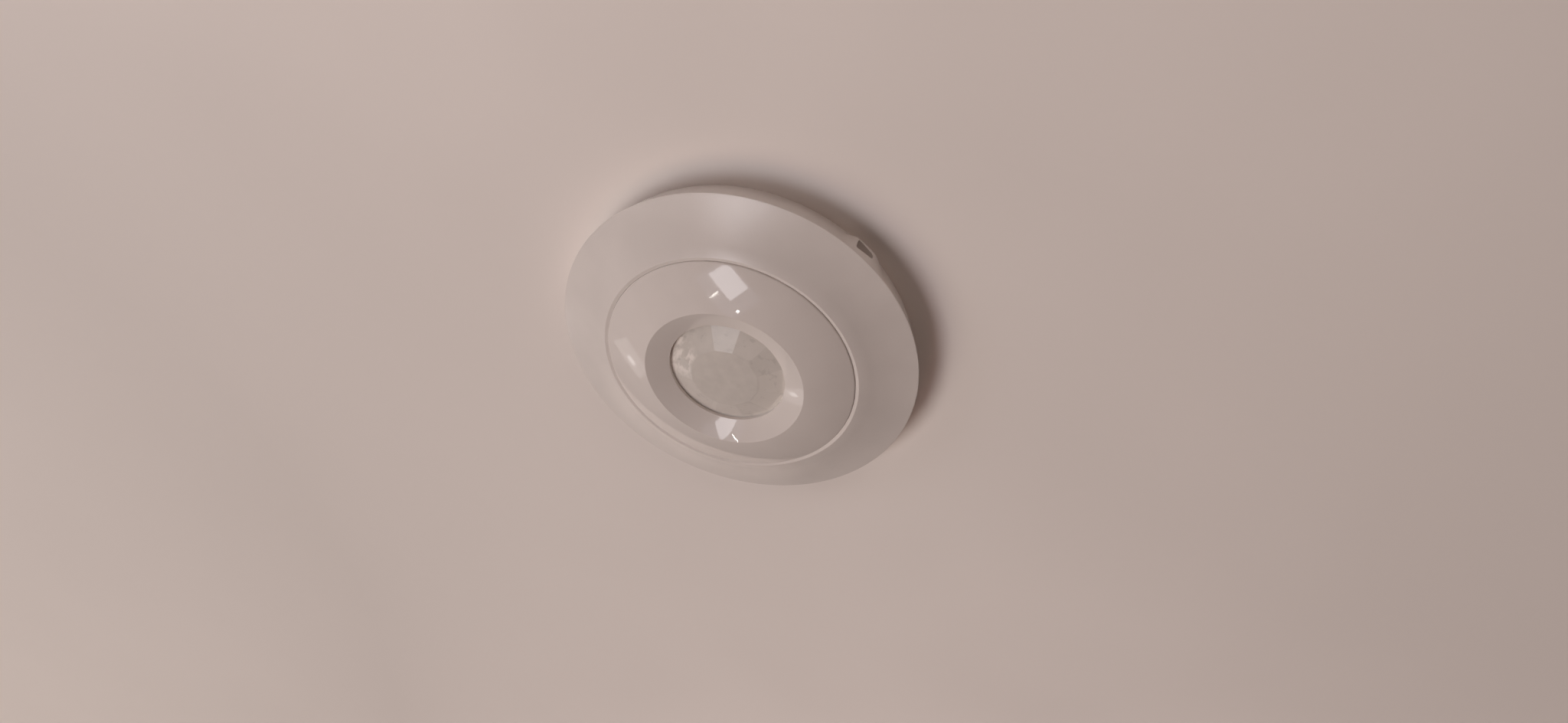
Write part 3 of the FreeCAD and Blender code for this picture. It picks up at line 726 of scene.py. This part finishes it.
def strip(bm, points, width, top, bottom):
    """Adds a mitred flat strip along (x, y) points, between two depths, to a bmesh in mm. A line that ends
    where it starts is closed."""
    closed = points[0] == points[-1]
    points = [Vector(p) for p in (points[:-1] if closed else points)]
    count, rings = len(points), []
    for i, here in enumerate(points):
        before = here - points[i - 1] if closed or i else points[1] - here
        after = points[(i + 1) % count] - here if closed or i + 1 < count else before
        before = before.normalized()
        ahead = (before + after.normalized()).normalized()
        across = Vector((-ahead.y, ahead.x)) * (width / 2 / ahead.dot(before))
        rings.append([bm.verts.new((*(here + side * across), -depth))
                      for side, depth in ((1, top), (1, bottom), (-1, bottom), (-1, top))])
    bridge(bm, rings, "joined" if closed else "capped")


def solder(bm, low, high, spread, height):
    """Adds solder to a bmesh in mm. It rises from the board round a rectangle whose corners are low and
    high, as (x, y)."""
    rings = []
    for wide, rise in ((spread, 0.0), (0.35 * spread, 0.55 * height), (0.02, height)):
        corners = ((low[0] - wide, low[1] - wide), (high[0] + wide, low[1] - wide),
                   (high[0] + wide, high[1] + wide), (low[0] - wide, high[1] + wide))
        rings.append([bm.verts.new((x, y, -board_face_mm - rise)) for x, y in corners])
    bridge(bm, rings, "capped")


def make_solder():
    """Tinned ends of the chips, and solder round them and round the feet of the leads."""
    bm = bmesh.new()
    end, proud = 0.22, 0.04
    for low, high in solids_mm("chip_resistors") + solids_mm("chip_capacitors"):
        tall = high[2] - low[2]
        middle = (low[1] + high[1]) / 2
        for x in (low[0] + end, high[0] - end):
            rounded_bar(bm, (0.5, high[1] - low[1] + proud, tall + proud),
                        (x, middle, -board_face_mm - tall / 2), 0.05, 2)
            solder(bm, (x - end, low[1]), (x + end, high[1]), 0.42, 0.6 * tall)
    toe_start, toe_end = 2.5, 3.1
    for low, high in solids_mm("microcontroller_leads"):
        inner, outer = (toe_start, toe_end) if low[0] > 0 else (-toe_end, -toe_start)
        solder(bm, (inner, low[1]), (outer, high[1]), 0.16, 0.22)
    low, high = solids_mm("voltage_regulator")[0]
    for x in (low[0] + 0.75, (low[0] + high[0]) / 2, high[0] - 0.75):
        solder(bm, (x - 0.25, low[1]), (x + 0.25, low[1] + 0.7), 0.3, 0.42)
    low, high = solids_mm("walk_test_led")[0]
    for x in (low[0], high[0]):
        solder(bm, (x - 0.1, low[1] + 0.4), (x + 0.1, high[1] - 0.4), 0.3, 0.6)
    finish_piece(new_object("solder_joints", bm), "base", "tinned_leads")


def make_tracks():
    """Tracks under the resist, which fan out from the leads and the sensor, each to its own plated hole."""
    lines = []
    for side in (-1, 1):
        leads = [box for box in solids_mm("microcontroller_leads") if box[0][0] * side > 0]
        for row, (low, high) in enumerate(leads):
            y, out, slant = (low[1] + high[1]) / 2, 4.6 + 0.9 * row, 1.2 + 0.3 * row
            turn = 1 if row > 3 else -1
            lines.append([(side * 3.0, y), (side * out, y), (side * (out + slant), y + turn * slant),
                          (side * (out + slant), y + turn * (slant + 6.0))])
        for row in range(5):
            x, y = 9.5 + 1.5 * row, 4.0 + row
            lines.append([(side * 6.0, y), (side * (x - 2), y), (side * x, y + 2),
                          (side * x, 12.0 + 4 * row)])
            x, y = 1.5 * (row + 1), 24.0 + row
            lines.append([(side * x, 14.5), (side * x, y), (side * (x + 2), y + 2), (side * (x + 2), 34.0)])
    tracks, holes = bmesh.new(), bmesh.new()
    for line in lines:
        strip(tracks, line, track_mm, board_face_mm, board_face_mm + 0.035)
        collar(holes, *line[-1], hole_mm + 0.24, hole_mm, board_face_mm, board_face_mm + 0.05)
    made = finish_piece(new_object("copper_tracks", tracks), "base", "board_laminate")
    made.data.materials[0] = laminate("track_resist", shade(record_colours["board_laminate"], 1.9))
    finish_piece(new_object("plated_holes", holes), "base", "pin_metal")


def make_legend():
    """White printed outlines round the parts on the board, without any lettering."""
    bm = bmesh.new()
    ink = board_face_mm, board_face_mm + 0.02
    margins = {
        "chip_resistors": 0.7, "chip_capacitors": 0.7, "microcontroller": 1.6, "voltage_regulator": 0.8,
        "relay_case": 0.5, "terminal_block": 0.5, "tamper_switch": 0.5, "trimmer_body": 0.5,
        "capacitor_bases": 0.6, "jumper_headers": 0.6, "walk_test_led": 0.8,
    }
    for node, margin in margins.items():
        for low, high in solids_mm(node):
            x0, y0, x1, y1 = low[0] - margin, low[1] - margin, high[0] + margin, high[1] + margin
            if max(abs(x0), abs(x1)) < board_side_mm:
                strip(bm, [(x0, y0), (x1, y0), (x1, y1), (x0, y1), (x0, y0)], legend_mm, *ink)
    shroud_mm = solids_mm("sensor_shroud")[0][1][0]
    collar(bm, 0, 0, shroud_mm + 0.7, shroud_mm + 0.7 - legend_mm, *ink, 96)
    finish_piece(new_object("board_legend", bm), "base", "rotor_plastic")


def make_moulding_marks():
    """Round marks that the ejector pins leave on the base floor."""
    bm = bmesh.new()
    for bearing in (50, 75, 105, 255, 285, 310):
        collar(bm, *polar(38.0, bearing), 2.4, 2.2, base_floor_mm - 0.05, base_floor_mm + 0.06, 48)
    finish_piece(new_object("ejector_marks", bm), "base", "base_plastic")


# ------------------------------------------------------------------ stage, camera and lights
def backdrop(name, profile):
    """Stage object turned from an open profile of (radius, height) in metres. A level one faces down."""
    bm = bmesh.new()
    bridge(bm, [[bm.verts.new((*polar(radius, b), height)) for b in even_bearings(96)]
              for radius, height in profile])
    mesh = bpy.data.meshes.new(name)
    bm.to_mesh(mesh)
    bm.free()
    made = link_object(name, mesh)
    return made


def make_ceiling():
    """Plain pale ceiling round the detector. It shows from below only, so the back can be seen from above.
    Its middle closes the holes of the base and lies just under the recessed face at the back. Light is
    painted into its tone: it drifts along a diagonal and lightens towards the camera."""
    round_it, behind_it = -0.08 * MM, -0.85 * MM
    ceiling = backdrop("ceiling", [(radius, round_it) for radius in (0.0535, 0.07, 0.12, 0.3, 1.0, 1.4)])
    middle = backdrop("ceiling_middle", [(radius, behind_it) for radius in (0.0005, 0.03, 0.052)])
    s = Shader("ceiling_paint")
    paint = (0.79, 0.755, 0.735)
    x, y, _ = s.split(s.place)
    # painted light: the ceiling colour is lighter along the diagonal x*y and towards the camera on -Y,
    # between a shaded and a lit copy of the paint
    painted_light_near_camera = s.math("MULTIPLY", s.math("MINIMUM", y, 0.0), 0.13)
    painted_light_drift = s.math("SUBTRACT", s.math("MULTIPLY", x, y), painted_light_near_camera)
    tone = s.mix(s.remap(painted_light_drift, -0.03, 0.03, 0, 1), shade(paint, 0.94), shade(paint, 1.254))
    tone = s.mix(s.remap(s.noise(160.0, 2.0), 0.3, 0.7, 0, 0.5), tone, paint)
    s.set(Base_Color=tone, Roughness=0.9, Normal=s.bump(s.noise(3.0, 3.0), 0.04, 0.35))
    choose = s.node("MixShader")
    s.link(s.node("NewGeometry").outputs["Backfacing"], choose.inputs["Fac"])
    s.link(s.bsdf.outputs["BSDF"], choose.inputs[1])
    s.link(s.node("BsdfTransparent").outputs["BSDF"], choose.inputs[2])
    s.link(choose.outputs["Shader"], s.tree.nodes["Material Output"].inputs["Surface"])
    for made in (ceiling, middle):
        made.data.materials.append(s.material)


def make_surround():
    """Plain pale floor and walls far off. They glow evenly and only the camera sees them, so they leave the
    light as it is."""
    room = backdrop("surround", [(0.01, -2.4), (3.0, -2.4), (4.6, -2.0), (5.2, -1.0), (5.2, 3.0)])
    room.data.shade_smooth()
    room.visible_diffuse = room.visible_glossy = room.visible_transmission = room.visible_shadow = False
    s = Shader("surround_paint")
    paint = s.mix(s.remap(s.noise(1500.0, 1.0), 0.3, 0.7, 0, 1), (0.595, 0.535, 0.51), (0.605, 0.545, 0.52))
    room.data.materials.append(s.set(Base_Color=(0.0, 0.0, 0.0), Roughness=1.0, Specular_IOR_Level=0.0,
                                     Emission_Color=paint, Emission_Strength=1.0))


def make_camera():
    """Camera of the photo, solved from the cover's circles."""
    camera = link_object("camera", bpy.data.cameras.new("camera"))
    camera.data.sensor_width = 36.0
    camera.data.lens = 25.63
    place, aim, roll = Vector((0.0, -0.2487, -0.2769)), Vector((0.0156, 0.0040, 0.0)), 22.86
    camera.location = place
    camera.rotation_mode = "QUATERNION"
    look = (aim - place).to_track_quat("-Z", "Y")
    camera.rotation_quaternion = look @ Quaternion((0, 0, 1), math.radians(roll))
    camera.data.clip_start, camera.data.clip_end = 0.01, 50
    bpy.context.scene.camera = camera


def area_light(name, place, power, colour, along=(1.0, 0.0, 0.0)):
    """Area light that faces the detector, with its width towards the direction along."""
    made = link_object(name, bpy.data.lights.new(name, "AREA"))
    made.data.energy = power
    made.data.color = colour
    forward = Vector(place).normalized()
    right = Vector(along)
    right = (right - forward * right.dot(forward)).normalized()
    turn = Matrix((right, forward.cross(right), forward)).transposed()
    made.matrix_world = Matrix.Translation(Vector(place)) @ turn.to_4x4()
    return made


def lamp(name, place, width, power, colour):
    """Broad round light that the gloss does not mirror."""
    made = area_light(name, place, power, colour)
    made.data.shape = "DISK"
    made.data.size = width
    made.visible_glossy = False


def card(name, place, width, height, power, colour, along=(1.0, 0.0, 0.0)):
    """Bright rectangle that only the gloss mirrors."""
    made = area_light(name, place, power, colour, along)
    made.data.shape = "RECTANGLE"
    made.data.size, made.data.size_y = width, height
    made.visible_diffuse = False


def from_below(bearing, elevation, distance):
    """Place of a lamp: its bearing in plan and its elevation below the ceiling, both seen from the part."""
    flat = distance * math.cos(math.radians(elevation))
    return (*polar(flat, bearing), -distance * math.sin(math.radians(elevation)))


def make_lights():
    """Daylight from the left and behind, with the bright things that the glossy dome mirrors. The last lamp
    lights the back."""
    lamp("key", from_below(240, 62, 2.0), 1.0, 11.4, (1.0, 0.96, 0.97))
    lamp("key_side", from_below(210, 44, 2.0), 1.0, 8.8, (1.0, 0.84, 0.68))
    lamp("key_back", from_below(180, 62, 2.0), 1.0, 3.0, (1.0, 0.56, 0.48))
    lamp("fill_side", from_below(270, 24, 1.2), 0.5, 1.35, (1.0, 0.88, 0.89))
    lamp("fill_low", from_below(0, 24, 1.2), 0.5, 1.9, (1.0, 0.84, 0.75))
    lamp("fill_front", from_below(0, 44, 2.0), 1.0, 0.95, (1.0, 0.3, 0.05))
    across = (-0.92, -0.39, 0.0)
    card("window", (-0.364, -0.143, -1.265), 0.34, 0.25, 1.15, (1.0, 0.97, 1.0), across)
    card("window_wall", (-0.36, -0.06, -1.37), 0.60, 0.46, 0.5, (0.85, 0.85, 1.0), across)
    card("far_window", (-0.60, 1.08, -0.46), 0.30, 0.24, 0.16, (1.0, 0.96, 0.93))
    card("far_pane", (-0.55, 1.03, -0.41), 0.07, 0.06, 0.03, (1.0, 0.96, 0.93))
    card("lamp", (-0.14, 0.09, -1.20), 0.022, 0.022, 0.06, (1.0, 0.97, 0.92))
    card("tube", (-0.384, 0.062, -1.154), 0.10, 0.012, 0.11, (1.0, 0.95, 0.88), (0.31, -0.95, 0.0))
    lamp("back_light", (-0.45, -0.65, 1.05), 1.0, 14, (1.0, 0.91, 0.87))


def make_world():
    """Faint warm light from all round."""
    world = bpy.data.worlds.new("room")
    bpy.context.scene.world = world
    world.use_nodes = True
    background = world.node_tree.nodes["Background"]
    background.inputs["Color"].default_value = (1.0, 0.88, 0.82, 1)
    background.inputs["Strength"].default_value = 0.02


bpy.context.scene.view_settings.view_transform = "Standard"
dress_frame()
make_trim_ring()
make_dome_housing()
make_lens()
make_solder()
make_tracks()
make_legend()
make_moulding_marks()
make_ceiling()
make_surround()
make_camera()
make_lights()
make_world()
